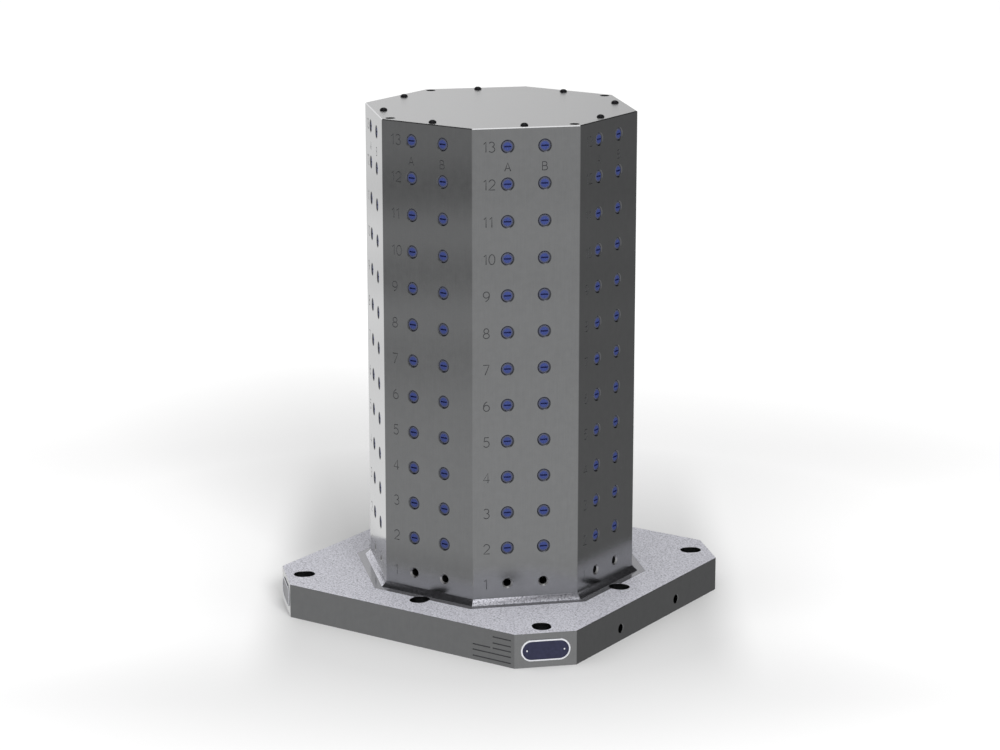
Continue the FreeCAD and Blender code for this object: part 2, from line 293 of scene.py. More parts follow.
BORE_MOUTH = BORE_RADIUS + BORE_CHAMFER
bore_rings = [(0, BORE_RADIUS)] + flared(BORE_DEPTH, BORE_RADIUS, BORE_MOUTH)
bores = turned_form("bores", bore_rings, BORE_SIDES)
face_outwards(bores, COLUMN_A, BORE_DEPTH - COLUMN_HALF, FIRST_ROW + ROW_PITCH)
row_of(bores, ROWS - 1, (0, 0, ROW_PITCH))
row_of(bores, 2, (COLUMN_B - COLUMN_A, 0, 0))

thread_start = THREAD_DEPTH - (MOUTH_RADIUS - THREAD_INNER) - THREAD_RINGS * THREAD_PITCH
thread_rings = [(0, THREAD_INNER)]
for ring in range(THREAD_RINGS):
    height = thread_start + ring * THREAD_PITCH
    thread_rings.append((height, THREAD_INNER))
    thread_rings.append((height + THREAD_PITCH / 2, THREAD_OUTER))
thread_rings += flared(THREAD_DEPTH, THREAD_INNER, MOUTH_RADIUS)
tapped = turned_form("tapped", thread_rings, BORE_SIDES)
face_outwards(tapped, COLUMN_A, THREAD_DEPTH - COLUMN_HALF, FIRST_ROW)
row_of(tapped, 2, (COLUMN_B - COLUMN_A, 0, 0))
print("bore cutter", len(bores.data.polygons), "tapped cutter", len(tapped.data.polygons))

# %% [markdown]
# ## Numbers and letters
# Rows are numbered 1 to 13 and the columns are marked A and B, engraved by a
# thin round cutter that follows one line per stroke. So each sign is drawn the
# way the machine does it, as strokes, on a height of 1.

# %% The strokes of each sign
def bow(x, z, across, up, start, end, steps=12):
    """Points on an arc, from one angle to another in degrees."""
    angles = [
        math.radians(start + (end - start) * step / steps) for step in range(steps + 1)
    ]
    return [(x + across * math.cos(a), z + up * math.sin(a)) for a in angles]


SIGN_STROKES = {
    "0": [bow(0.3, 0.5, 0.3, 0.5, 90, 430, 18) + [(0.3, 1.0)]],
    "1": [[(0.08, 0.8), (0.3, 1.0), (0.3, 0.0)]],
    "2": [bow(0.31, 0.7, 0.3, 0.3, 165, -38) + [(0.0, 0.0), (0.62, 0.0)]],
    "3": [bow(0.28, 0.76, 0.26, 0.24, 150, -80) + bow(0.29, 0.27, 0.3, 0.27, 80, -150)],
    "4": [[(0.46, 0.0), (0.46, 1.0), (0.0, 0.28), (0.62, 0.28)]],
    "5": [[(0.55, 1.0), (0.13, 1.0), (0.07, 0.56)] + bow(0.29, 0.32, 0.3, 0.32, 120, -150)],
    "6": [bow(0.62, 0.42, 0.6, 0.6, 112, 178, 6) + bow(0.32, 0.31, 0.3, 0.31, 170, 520, 18)],
    "7": [[(0.0, 1.0), (0.6, 1.0), (0.18, 0.0)]],
    "8": [
        bow(0.31, 0.755, 0.24, 0.245, -90, 250, 15) + [(0.31, 0.51)],
        bow(0.31, 0.255, 0.3, 0.255, 90, 430, 15) + [(0.31, 0.51)],
    ],
    "9": [bow(0.02, 0.58, 0.6, 0.6, -68, -2, 6) + bow(0.32, 0.69, 0.3, 0.31, -10, 340, 18)],
    "A": [[(0.0, 0.0), (0.36, 1.0), (0.72, 0.0)], [(0.12, 0.33), (0.6, 0.33)]],
    "B": [
        [(0.0, 0.52), (0.3, 0.52)] + bow(0.34, 0.26, 0.28, 0.26, 90, -90, 10)
        + [(0.0, 0.0), (0.0, 1.0)] + bow(0.3, 0.76, 0.25, 0.24, 90, -90, 10)
    ],
}
SIGN_SPACE = 0.28
GROOVE_RADIUS = 0.7 * MM
GROOVE_LIFT = 0.13 * MM


def sign_width(text):
    """How wide a word of signs is, on a height of 1."""
    widths = [max(x for stroke in SIGN_STROKES[sign] for x, z in stroke) for sign in text]
    return sum(widths) + SIGN_SPACE * (len(text) - 1)


def word_strokes(text, left, middle, height):
    """The strokes of a word on column face 1, from its left end and mid height."""
    strokes = []
    front = -COLUMN_HALF - GROOVE_LIFT
    for sign in text:
        for stroke in SIGN_STROKES[sign]:
            strokes.append([
                Vector((left + x * height, front, middle + (z - 0.5) * height))
                for x, z in stroke
            ])
        left += (sign_width(sign) + SIGN_SPACE) * height
    return strokes


print("signs", "".join(SIGN_STROKES))

# %% [markdown]
# ## The engraving cutter
# The engraver's ball-nosed tool runs along each stroke, a little above the face,
# so it leaves a shallow groove with a round floor. A curve does the same: each
# stroke becomes a poly line with a round bevel, and the whole is made a mesh.

# %% Strokes to rods
NUMBER_HEIGHT = 13.5 * MM
NUMBER_LEFT = COLUMN_A - 33 * MM
LETTER_HEIGHT = 11 * MM
LETTER_DROP = 27 * MM
LAST_ROW = FIRST_ROW + (ROWS - 1) * ROW_PITCH

strokes = []
for row in range(ROWS):
    height = FIRST_ROW + row * ROW_PITCH
    strokes += word_strokes(str(row + 1), NUMBER_LEFT, height, NUMBER_HEIGHT)
for letter, middle in (("A", COLUMN_A), ("B", COLUMN_B)):
    left = middle - sign_width(letter) * LETTER_HEIGHT / 2
    strokes += word_strokes(letter, left, LAST_ROW - LETTER_DROP, LETTER_HEIGHT)


def stroke_cutters(name, strokes):
    """A round rod along every stroke."""
    curve = bpy.data.curves.new(name, "CURVE")
    curve.dimensions = "3D"
    curve.bevel_depth = GROOVE_RADIUS
    curve.bevel_resolution = 1
    curve.use_fill_caps = True
    for stroke in strokes:
        spline = curve.splines.new("POLY")
        spline.points.add(len(stroke) - 1)
        for point, place in zip(spline.points, stroke):
            point.co = (*place, 1)
    rods = bpy.data.objects.new(name, curve)
    bpy.context.scene.collection.objects.link(rods)
    activate(rods)
    bpy.ops.object.convert(target="MESH")
    return bpy.context.object


signs = stroke_cutters("signs", strokes)
print("strokes", len(strokes), "sign cutter faces", len(signs.data.polygons))

# %% [markdown]
# ## Cutting the panel
# One exact Boolean takes all the holes out of the slab, and a second one the
# signs. Then the slab's back and sides are deleted, which leaves the drilled and
# engraved skin whose four straight borders fit the column's frame.

# %% The finished panel
PANEL_HALF = COLUMN_HALF * math.tan(HALF_STEP) - EDGE_BREAK
PANEL_DEPTH = 27 * MM

panel = box_form(
    "panel",
    (-PANEL_HALF, -COLUMN_HALF, FOOT),
    (PANEL_HALF, PANEL_DEPTH - COLUMN_HALF, COVER_SEAT),
)
combine(panel, join([bores, tapped], "holes"))
combine(panel, signs, crossing=True)


def on_slab_rest(points):
    """True on the slab's back, sides and ends, but not on its front."""
    return (
        all(near(abs(p.x), PANEL_HALF) for p in points)
        or all(near(p.y, PANEL_DEPTH - COLUMN_HALF) for p in points)
        or all(near(p.z, FOOT) for p in points)
        or all(near(p.z, COVER_SEAT) for p in points)
    )


pick(panel, "FACE", on_slab_rest)
bpy.ops.mesh.delete(type="FACE")
close()
print("panel faces", len(panel.data.polygons))

# %% [markdown]
# ## The casting around the panels
# The base is a slab with its corners cut and its edges broken. A shallow
# machined seat surrounds the column's foot. The column rises from it with a
# mitred 7 mm bevel, and both are one casting, so they are joined by a union.

# %% Base and column
SEAT_FLAT = 193 * MM
SEAT_DEPTH = 0.12 * MM
SUNK = 10 * MM

casting = box_form(
    "casting", (-BASE_HALF, -BASE_HALF, 0), (BASE_HALF, BASE_HALF, BASE_TOP)
)
pick(casting, "EDGE", upright)
bpy.ops.mesh.bevel(offset=CORNER_CUT, segments=1, affect="EDGES")
bpy.ops.mesh.select_all(action="SELECT")
bpy.ops.mesh.bevel(offset=BASE_BREAK, segments=1, affect="EDGES")
close()

seat_floor = BASE_TOP - SEAT_DEPTH
combine(casting, octagon("seat", [(seat_floor, SEAT_FLAT), (BASE_TOP + SUNK, SEAT_FLAT)]))

column = octagon("column", [
    (BASE_TOP - SUNK, COLUMN_HALF + FOOT_BEVEL + SUNK),
    (FOOT, COLUMN_HALF),
    (COVER_SEAT, COLUMN_HALF),
])
pick(column, "EDGE", upright)
bpy.ops.mesh.bevel(offset=EDGE_BREAK, segments=1, affect="EDGES")
close()
combine(casting, column, "UNION")
print("casting faces", len(casting.data.polygons))

# %% [markdown]
# ## Holes in the casting
# The column is hollow. Eight slots, one behind each corner of the base and one
# in the middle of each side, take the bolts to the machine's pallet. The top
# rim is tapped for lifting eyes and the right side of the base has two holes.
# A slot starts as a turned cutter whose two halves are pulled apart.

# %% Cutters for the core and the slots
CORE_HALF = 145 * MM
SLOT_SIDES = 48
SLOT_RADIUS = 12.5 * MM
SLOT_STRETCH = 2.25 * MM
SLOT_BREAK = 0.3 * MM
SLOT_PLACE = 198 * MM

core = octagon("core", [(-SUNK, CORE_HALF), (COVER_SEAT + SUNK, CORE_HALF)])


def pull_apart(piece, distance):
    """Moves the two halves of a turned form apart along X, so that it gets
    straight sides and round ends."""
    for side in (-1, 1):
        pick(piece, "VERT", lambda points: points[0].x * side > SLIGHT)
        bpy.ops.transform.translate(value=(side * distance, 0, 0))
        close()


slot_rings = [(-SUNK, SLOT_RADIUS)] + flared(BASE_TOP, SLOT_RADIUS, SLOT_RADIUS + SLOT_BREAK)
side_slot = turned_form("slots", slot_rings, SLOT_SIDES)
pull_apart(side_slot, SLOT_STRETCH)
corner_slot = copy_of(side_slot, "corner_slot")
put(side_slot, (SLOT_PLACE, 0, 0))
put(corner_slot, (SLOT_PLACE * math.sqrt(2), 0, 0), CORNER_TURN)
slots = around(join([side_slot, corner_slot], "slots"), BASE_SIDES, "slots")
print("slot cutter faces", len(slots.data.polygons))

# %% Cutters for the rim and the side
LIFTING_COUNT = 4
LIFTING_PLACE = 176 * MM
LIFTING_TURN = 3 * HALF_STEP
LIFTING_RADIUS = 5.2 * MM
LIFTING_MOUTH = LIFTING_RADIUS + MM
LIFTING_DEPTH = 25 * MM
SIDE_HOLE_RADIUS = 6.2 * MM
SIDE_HOLE_MOUTH = SIDE_HOLE_RADIUS + MM / 2
SIDE_HOLE_DEPTH = 32 * MM
SIDE_HOLE_SPACING = 148 * MM
SIDE_HOLE_HEIGHT = 17.5 * MM

lifting_rings = [(0, LIFTING_RADIUS)] + flared(LIFTING_DEPTH, LIFTING_RADIUS, LIFTING_MOUTH)
lifting = turned_form("lifting", lifting_rings, BORE_SIDES)
put(lifting, (LIFTING_PLACE, 0, COVER_SEAT - LIFTING_DEPTH), LIFTING_TURN)
lifting = around(lifting, LIFTING_COUNT, "lifting")

side_rings = [(0, SIDE_HOLE_RADIUS)] + flared(SIDE_HOLE_DEPTH, SIDE_HOLE_RADIUS, SIDE_HOLE_MOUTH)
side_holes = turned_form("side_holes", side_rings, BORE_SIDES)
side_holes.rotation_euler.y = math.pi / 2
side_holes.location = (BASE_HALF - SIDE_HOLE_DEPTH, -SIDE_HOLE_SPACING / 2, SIDE_HOLE_HEIGHT)
settle(side_holes)
row_of(side_holes, 2, (0, SIDE_HOLE_SPACING, 0))

combine(casting, core)
combine(casting, join([slots, lifting, side_holes], "holes"))
print("casting faces", len(casting.data.polygons))

# %% [markdown]
# ## Grooves on the base's near side
# The near left side carries a block of plain engraved lines at its right end:
# three short ones below each other, one beside the third, and two long ones.
# Each is a shallow box, cut out of the side.

# %% The block of lines
LINE_RIGHT = 181 * MM
LINE_WIDTH = 1.8 * MM
LINE_DEPTH = 0.8 * MM
# For each line, its height and how far left of LINE_RIGHT it starts and ends, in mm.
LINES = [
    (38.2, 0, 29), (29.6, 0, 29), (22.4, 0, 29), (22.4, 33, 61), (14.8, 0, 61), (6.3, 0, 61),
]

lines = []
for height, start, end in LINES:
    middle = height * MM
    lines.append(box_form(
        "line",
        (LINE_RIGHT - end * MM, -BASE_HALF - MM, middle - LINE_WIDTH / 2),
        (LINE_RIGHT - start * MM, -BASE_HALF + LINE_DEPTH, middle + LINE_WIDTH / 2),
    ))
combine(casting, join(lines, "lines"))
print("lines", len(LINES), "casting faces", len(casting.data.polygons))

# %% [markdown]
# ## Panels onto the casting
# The column's eight plain faces are deleted and eight copies of the panel take
# their place. Their corner points coincide, so a merge by distance closes the
# shell again, and counting its open edges shows that it worked.

# %% The finished casting
MERGE_DISTANCE = 5e-6


def on_plain_face(points):
    """True on the column's broad outer faces."""
    spread = max((a.xy - b.xy).length for a in points for b in points)
    return (
        min(p.z for p in points) > FOOT - SLIGHT
        and min(p.xy.length for p in points) > COLUMN_HALF
        and spread > PANEL_HALF
        and max(p.z for p in points) - min(p.z for p in points) > ROW_PITCH
    )


def report_mesh(piece):
    """Prints a piece's triangles and how many of its edges lack two faces."""
    uses = {}
    for polygon in piece.data.polygons:
        for key in polygon.edge_keys:
            uses[key] = uses.get(key, 0) + 1
    triangles = sum(len(polygon.vertices) - 2 for polygon in piece.data.polygons)
    odd = sum(1 for count in uses.values() if count != 2)
    print(piece.name, "triangles", triangles, "open edges", odd)


pick(casting, "FACE", on_plain_face)
bpy.ops.mesh.delete(type="FACE")
close()
panels = around(panel, FACES, "panels")
tower = join([casting, panels], "tower_casting")
activate(tower)
bpy.ops.object.mode_set(mode="EDIT")
bpy.ops.mesh.select_all(action="SELECT")
bpy.ops.mesh.remove_doubles(threshold=MERGE_DISTANCE)
close()
report_mesh(tower)

# %% [markdown]
# ## Cover, with holes for the lifting eyes
# The cover is ground plate, flush with the column, with a chamfered rim. It is
# one more turned form of eight sides, drilled for its screws and for the four
# lifting eyes that go through it into the casting's rim.

# %% The cover
COVER_CHAMFER = 1.2 * MM
EYE_RADIUS = 6.25 * MM
EYE_MOUTH = EYE_RADIUS + MM / 2
SCREW_PLACE = 161 * MM
SCREW_CLEAR = 3.3 * MM
SCREW_HOLE_SIDES = 16

cover = octagon("cover", [
    (COVER_SEAT, COLUMN_HALF),
    (COVER_TOP - COVER_CHAMFER, COLUMN_HALF),
    (COVER_TOP, COLUMN_HALF - COVER_CHAMFER),
])
pick(cover, "EDGE", upright)
bpy.ops.mesh.bevel(offset=EDGE_BREAK, segments=1, affect="EDGES")
close()

thickness = COVER_TOP - COVER_SEAT
eye_rings = [(-MM, EYE_RADIUS)] + flared(thickness, EYE_RADIUS, EYE_MOUTH)
eye_hole = turned_form("eye_hole", eye_rings, BORE_SIDES)
put(eye_hole, (LIFTING_PLACE, 0, COVER_SEAT), LIFTING_TURN)
eye_holes = around(eye_hole, LIFTING_COUNT, "eye_holes")

screw_hole_rings = [(-MM, SCREW_CLEAR), (thickness + MM, SCREW_CLEAR)]
screw_hole = turned_form("screw_hole", screw_hole_rings, SCREW_HOLE_SIDES)
put(screw_hole, (SCREW_PLACE, 0, COVER_SEAT))
screw_holes = around(screw_hole, FACES, "screw_holes")
combine(cover, join([eye_holes, screw_holes], "cover_holes"))
report_mesh(cover)

# %% [markdown]
# ## Button-head screws
# A button head is a low dome over a thin rim, with a six-sided socket. The
# screw is turned in one go, shank and head, and the socket is cut into it.

# %% One screw, then eight
# Heights and radii in mm, from the shank's end up, with 0 at the cover's top.
SCREW_RINGS = [
    (-16.0, 2.3), (-15.3, 2.9), (0.0, 2.9), (0.02, 5.1), (0.6, 5.25), (1.3, 5.05),
    (2.0, 4.5), (2.6, 3.8), (3.05, 3.0), (3.3, 2.6),
]
SCREW_SIDES = 24
HEAD_HEIGHT = SCREW_RINGS[-1][0] * MM
SOCKET_SIDES = 6
SOCKET_RADIUS = 2.31 * MM
SOCKET_DEPTH = 2.1 * MM

screw = turned_form("screw", [(z * MM, r * MM) for z, r in SCREW_RINGS], SCREW_SIDES)
socket_rings = [(HEAD_HEIGHT - SOCKET_DEPTH, SOCKET_RADIUS), (HEAD_HEIGHT + MM, SOCKET_RADIUS)]
combine(screw, turned_form("socket", socket_rings, SOCKET_SIDES))
put(screw, (SCREW_PLACE, 0, COVER_TOP))
screws = around(screw, FACES, "cover_button_screws")
report_mesh(screws)

# %% [markdown]
# ## Plugs
# Each plug is a turned disc with a broken edge and a short slot for a coin or a
# screwdriver. It sits a little below the face. One plug is made, repeated up a
# column and across, and turned to each face. With 192 of them, a plug has only
# a few dozen faces.

# %% One plug, then sixteen columns of twelve
PLUG_SIDES = 20
PLUG_RADIUS = 7.65 * MM
PLUG_EDGE = 1.9 * MM
PLUG_EDGE_DROP = 0.5 * MM
PLUG_LENGTH = 12 * MM
PLUG_RECESS = 0.9 * MM
PLUG_SLOT_LENGTH = 9.5 * MM
PLUG_SLOT_WIDTH = 2.0 * MM
PLUG_SLOT_DEPTH = 1.6 * MM

plug = turned_form("plug", [
    (0, PLUG_RADIUS),
    (PLUG_LENGTH - PLUG_EDGE_DROP, PLUG_RADIUS),
    (PLUG_LENGTH, PLUG_RADIUS - PLUG_EDGE),
], PLUG_SIDES)
combine(plug, box_form(
    "slot",
    (-PLUG_SLOT_LENGTH / 2, -PLUG_SLOT_WIDTH / 2, PLUG_LENGTH - PLUG_SLOT_DEPTH),
    (PLUG_SLOT_LENGTH / 2, PLUG_SLOT_WIDTH / 2, PLUG_LENGTH + MM),
))
face_outwards(plug, 0, PLUG_LENGTH + PLUG_RECESS - COLUMN_HALF, FIRST_ROW + ROW_PITCH)
print("one plug has", len(plug.data.polygons), "faces")
row_of(plug, ROWS - 1, (0, 0, ROW_PITCH))

plug_columns = {}
for face in range(FACES):
    for label, across in (("a", COLUMN_A), ("b", COLUMN_B)):
        copy = copy_of(plug, "plug_row_%d_%s" % (face + 1, label))
        put(copy, (across, 0, 0), face * FACE_STEP)
        plug_columns["plugs_face_%d_%s" % (face + 1, label)] = copy
bpy.data.objects.remove(plug)
print("plug columns", len(plug_columns))

# %% [markdown]
# ## Nameplates
# A thin plate with round ends sits on two of the base's cut corners. A pale
# border stands proud of the dark field, and a pin holds it at each end. The
# field stays bare. The plate starts round and is pulled apart like the slots.

# %% One nameplate, then two
PLATE_SIDES = 48
PLATE_HALF_HEIGHT = 14.75 * MM
PLATE_STRETCH = 18.75 * MM
PLATE_THICKNESS = 1.2 * MM
PLATE_EDGE = 0.3 * MM
PLATE_BORDER = 1.7 * MM
PLATE_FIELD_DEPTH = 0.35 * MM
PIN_SIDES = 12
PIN_PLACE = 25.3 * MM
# Heights above the plate's field and radii, in mm.
PIN_RINGS = [(-0.2, 1.1), (0.2, 1.1), (0.35, 0.66)]
CORNER_FLAT = math.sqrt(2) * (BASE_HALF - CORNER_CUT / 2)

plate = turned_form("plate", [
    (0, PLATE_HALF_HEIGHT),
    (PLATE_THICKNESS - PLATE_EDGE, PLATE_HALF_HEIGHT),
    (PLATE_THICKNESS, PLATE_HALF_HEIGHT - PLATE_EDGE),
], PLATE_SIDES)
pick(plate, "FACE", lambda points: all(near(p.z, PLATE_THICKNESS) for p in points))
bpy.ops.mesh.inset(thickness=PLATE_BORDER)
bpy.ops.mesh.extrude_region_move(TRANSFORM_OT_translate={"value": (0, 0, -PLATE_FIELD_DEPTH)})
close()
pull_apart(plate, PLATE_STRETCH)

field = PLATE_THICKNESS - PLATE_FIELD_DEPTH
pins = []
for side in (-1, 1):
    pin = turned_form("pin", [(field + z * MM, r * MM) for z, r in PIN_RINGS], PIN_SIDES)
    pins.append(put(pin, (side * PIN_PLACE, 0, 0)))
nameplate = join([plate] + pins, "nameplate")
face_outwards(nameplate, 0, -CORNER_FLAT, BASE_TOP / 2)
report_mesh(nameplate)
nameplates = {
    "nameplate_front": copy_of(nameplate, "badge_front", CORNER_TURN),
    "nameplate_left": copy_of(nameplate, "badge_left", -CORNER_TURN),
}
bpy.data.objects.remove(nameplate)

# %% [markdown]
# ## Helpers for the materials
# Colours are written as sRGB hex values and turned to linear by one function.
# One small function adds a node, sets it, and links it. Every pattern reads
# Object coordinates, so it is measured in metres and stays on the piece.

# %% Colour and node helpers
def linear(hexcode):
    """A hex sRGB colour as linear numbers with an alpha of 1."""
    parts = [int(hexcode[place:place + 2], 16) / 255 for place in (1, 3, 5)]
    shades = [c / 12.92 if c <= 0.04045 else ((c + 0.055) / 1.055) ** 2.4 for c in parts]
    return (*shades, 1.0)


def add_node(tree, kind, inputs=(), **settings):
    """Adds a node of a kind, with its settings, and its inputs as numbers or
    links from other nodes' outputs."""
    node = tree.nodes.new("ShaderNode" + kind)
    for name, value in settings.items():
        setattr(node, name, value)
    for name, value in dict(inputs).items():
        if isinstance(value, bpy.types.NodeSocket):
            tree.links.new(value, node.inputs[name])
        else:
            node.inputs[name].default_value = value
    return node


def new_material(name):
    """An empty material, its tree, its shader and its Object coordinates."""
    material = bpy.data.materials.new(name)
    material.use_nodes = True
    tree = material.node_tree
    tree.nodes.clear()
    shader = add_node(tree, "BsdfPrincipled")
    add_node(tree, "OutputMaterial", {"Surface": shader.outputs["BSDF"]})
    place = add_node(tree, "TexCoord").outputs["Object"]
    return material, tree, shader, place


def per_mm(size):
    """The noise scale whose features are about so many millimetres wide."""
    return 1 / (size * MM)


# %% [markdown]
# ## Ground iron and steel
# The column's faces and the base's sides are grey cast iron from a surface grinder. To the eye
# that is a dull mirror with fine upright lines and a faint mottle of graphite, so the finish is
# all metal, with a low roughness. Near the foot, where chips rub it, the iron is duller. The cover
# is ground steel and paler, and its chamfer is painted almost white, a painted highlight along the
# edge.

# %% Ground iron
# Widths in mm. The real lines are a few hundredths of a millimetre wide, too fine
# to show, so they are drawn 1.2 mm wide, and stretched by 1 / 0.03 up the face.
GRIND_LINE = 1.2
GRIND_STRETCH = 0.03
MOTTLE = 9
ROUGHNESS_SPREAD = 0.02
RUBBED_FROM = 130 * MM
RUBBED_TO = 80 * MM
RUBBED_ROUGHER = 0.14


def ground_iron(name, dark, pale, roughness, bump):
    """A ground metal: two tones of grain and mottle, and a fine relief."""
    material, tree, shader, place = new_material(name)
    lines = add_node(tree, "Mapping", {"Vector": place, "Scale": (1.0, 1.0, GRIND_STRETCH)})
    grain = add_node(tree, "TexNoise", {
        "Vector": lines.outputs["Vector"], "Scale": per_mm(GRIND_LINE),
        "Detail": 3.0, "Roughness": 0.6,
    })
    mottle = add_node(tree, "TexNoise", {"Vector": place, "Scale": per_mm(MOTTLE), "Detail": 5.0})
    blend = add_node(tree, "Mix", {
        0: 0.5, 2: grain.outputs["Fac"], 3: mottle.outputs["Fac"],
    }, data_type="FLOAT")
    tint = add_node(tree, "ValToRGB", {"Fac": blend.outputs[0]})
    tint.color_ramp.elements[0].position = 0.35
    tint.color_ramp.elements[1].position = 0.65
    tint.color_ramp.elements[0].color = linear(dark)
    tint.color_ramp.elements[1].color = linear(pale)
    tree.links.new(tint.outputs["Color"], shader.inputs["Base Color"])
    dull = add_node(tree, "MapRange", {
        "Value": blend.outputs[0],
        "To Min": roughness - ROUGHNESS_SPREAD, "To Max": roughness + ROUGHNESS_SPREAD,
    })
    rubbed = add_node(tree, "MapRange", {
        "Value": add_node(tree, "SeparateXYZ", {"Vector": place}).outputs["Z"],
        "From Min": RUBBED_FROM, "From Max": RUBBED_TO, "To Min": 0.0, "To Max": RUBBED_ROUGHER,
    }, interpolation_type="SMOOTHSTEP")
    dull = add_node(tree, "Math", {
        0: dull.outputs["Result"], 1: rubbed.outputs["Result"],
    }, operation="ADD")
    tree.links.new(dull.outputs[0], shader.inputs["Roughness"])
    relief = add_node(tree, "Bump", {
        "Height": grain.outputs["Fac"], "Strength": bump, "Distance": 0.02 * MM,
    })
    tree.links.new(relief.outputs["Normal"], shader.inputs["Normal"])
    shader.inputs["Metallic"].default_value = 1.0
    return material


iron = ground_iron("ground_cast_iron", "#a1a2a3", "#a7a8a9", roughness=0.07, bump=0.05)
cover_steel = ground_iron("ground_cover_steel", "#c4c4c5", "#cacacb", roughness=0.26, bump=0.1)
# The cover's chamfer is painted almost white: a painted highlight along its edge.
chamfer_highlight_steel = ground_iron(
    "cover_chamfer_painted_highlight", "#e2e2e4", "#e8e8ea", roughness=0.2, bump=0.05
)
print("ground metals", [metal.name for metal in (iron, cover_steel, chamfer_highlight_steel)])

# %% [markdown]
# ## Cast skin
# The base's top is iron as it left the sand mould, blasted clean: pale and dull,
# with a coarse grain of bright and dark specks. At the bevel the same skin has
# been rubbed bright, so there it is a metal with a shallow relief.

# %% Cast skin
# The real grit is finer than shows in the render, so it is drawn 2.4 mm wide.
GRIT = 2.4


def cast_skin(name, metallic, roughness, depth):
    """Specks of three tones, which also give the relief."""
    material, tree, shader, place = new_material(name)
    grit = add_node(tree, "TexNoise", {
        "Vector": place, "Scale": per_mm(GRIT), "Detail": 4.0, "Roughness": 0.75,
    })
    tint = add_node(tree, "ValToRGB", {"Fac": grit.outputs["Fac"]})
    ramp = tint.color_ramp
    ramp.elements[0].position = 0.35
    ramp.elements[0].color = linear("#6c6c72")
    ramp.elements[1].position = 0.6
    ramp.elements[1].color = linear("#e4e4ec")
    ramp.elements.new(0.44).color = linear("#bebec7")
    tree.links.new(tint.outputs["Color"], shader.inputs["Base Color"])
    relief = add_node(tree, "Bump", {
        "Height": grit.outputs["Fac"], "Strength": 1.0, "Distance": depth,
    })
    tree.links.new(relief.outputs["Normal"], shader.inputs["Normal"])
    shader.inputs["Metallic"].default_value = metallic
    shader.inputs["Roughness"].default_value = roughness
    return material


skin = cast_skin("blasted_cast_skin", metallic=0.2, roughness=0.5, depth=0.4 * MM)
foot_skin = cast_skin("rubbed_cast_skin", metallic=1.0, roughness=0.22, depth=0.06 * MM)
print("cast skins", skin.name, foot_skin.name)

# %% [markdown]
# ## The small finishes
# Plastic, black oxide, enamel, aluminium and the cut iron in holes and grooves each show one fine
# grain at most. One function gives them two close tones and a slight relief from the same noise,
# and each keeps its own colour, roughness and share of metal; in the plugs' rims and slots and in
# the holes and grooves that colour is painted shade, and at the countersinks a painted highlight.

# %% Plastic, oxide, enamel, aluminium and cut iron
def even_finish(name, dark, pale, grain_mm, roughness, metallic, bump):
    """A finish with one fine grain in its colour and relief."""
    material, tree, shader, place = new_material(name)
    grain = add_node(tree, "TexNoise", {
        "Vector": place, "Scale": per_mm(grain_mm), "Detail": 3.0,
    })
    tint = add_node(tree, "ValToRGB", {"Fac": grain.outputs["Fac"]})
    tint.color_ramp.elements[0].position = 0.3
    tint.color_ramp.elements[1].position = 0.7
    tint.color_ramp.elements[0].color = linear(dark)
    tint.color_ramp.elements[1].color = linear(pale)
    tree.links.new(tint.outputs["Color"], shader.inputs["Base Color"])
    relief = add_node(tree, "Bump", {
        "Height": grain.outputs["Fac"], "Strength": bump, "Distance": 0.05 * MM,
    })
    tree.links.new(relief.outputs["Normal"], shader.inputs["Normal"])
    shader.inputs["Metallic"].default_value = metallic
    shader.inputs["Roughness"].default_value = roughness
    return material


# Polyethylene, dyed blue and moulded, has a soft sheen. Its rim and sides are painted grey and its
# slot nearly black: painted shade, where the edge lies in the bore's shadow and the slot in its
# own.
plastic = even_finish(
    "moulded_blue_plastic", "#2a376e", "#323f7a",
    grain_mm=1.5, roughness=0.5, metallic=0.0, bump=0.3,
)
# Grey: painted shade on the plug's rim and sides.
rim_shade_plastic = even_finish(
    "plastic_rim_painted_shade", "#3e4153", "#494c5e",
    grain_mm=1.5, roughness=0.5, metallic=0.0, bump=0.3,
)
# Nearly black: painted shade inside the plug's slot.
slot_shade_plastic = even_finish(
    "plastic_slot_painted_shade", "#101848", "#141c50",
    grain_mm=1.5, roughness=0.6, metallic=0.0, bump=0.3,
)
# Iron that a tool has cut is drawn as a brighter or darker metal than the ground face: a bore's
# wall is painted darker and a thread nearly black, which is painted shade in the holes; a
# countersink is painted bright, a painted highlight; the milled seat is bright; and an engraved
# groove is rough, its darker tone painted shade in the groove.
# Darker than the ground face: painted shade on the bore's walls and chamfer round each plug.
bore_shade_iron = even_finish(
    "bored_iron_painted_shade", "#7c7d80", "#88898c",
    grain_mm=1.2, roughness=0.3, metallic=1.0, bump=0.3,
)
# Nearly black: painted shade deep inside the tapped holes and the cover's holes.
hole_shade_iron = even_finish(
    "painted_shade_in_holes", "#131314", "#1b1b1c",
    grain_mm=1.2, roughness=0.35, metallic=0.9, bump=0.3,
)
# Rough cut iron whose darker tone is painted shade in the engraved grooves.
groove_shade_iron = even_finish(
    "engraved_iron_painted_shade", "#808184", "#8c8d90",
    grain_mm=1.0, roughness=0.5, metallic=1.0, bump=0.3,
)
seat_iron = even_finish(
    "milled_seat_iron", "#9c9ca1", "#a4a4a9",
    grain_mm=1.2, roughness=0.12, metallic=0.7, bump=0.1,
)
# Painted bright: a painted highlight on the countersinks of the open holes.
mouth_highlight_iron = even_finish(
    "countersink_painted_highlight", "#c4c4c5", "#cacacb",
    grain_mm=1.2, roughness=0.3, metallic=1.0, bump=0.3,
)
# Black oxide is a thin blackened layer on steel, with a dull metal sheen.
oxide = even_finish(
    "black_oxide_steel", "#17171a", "#222226",
    grain_mm=0.8, roughness=0.35, metallic=0.6, bump=0.3,
)
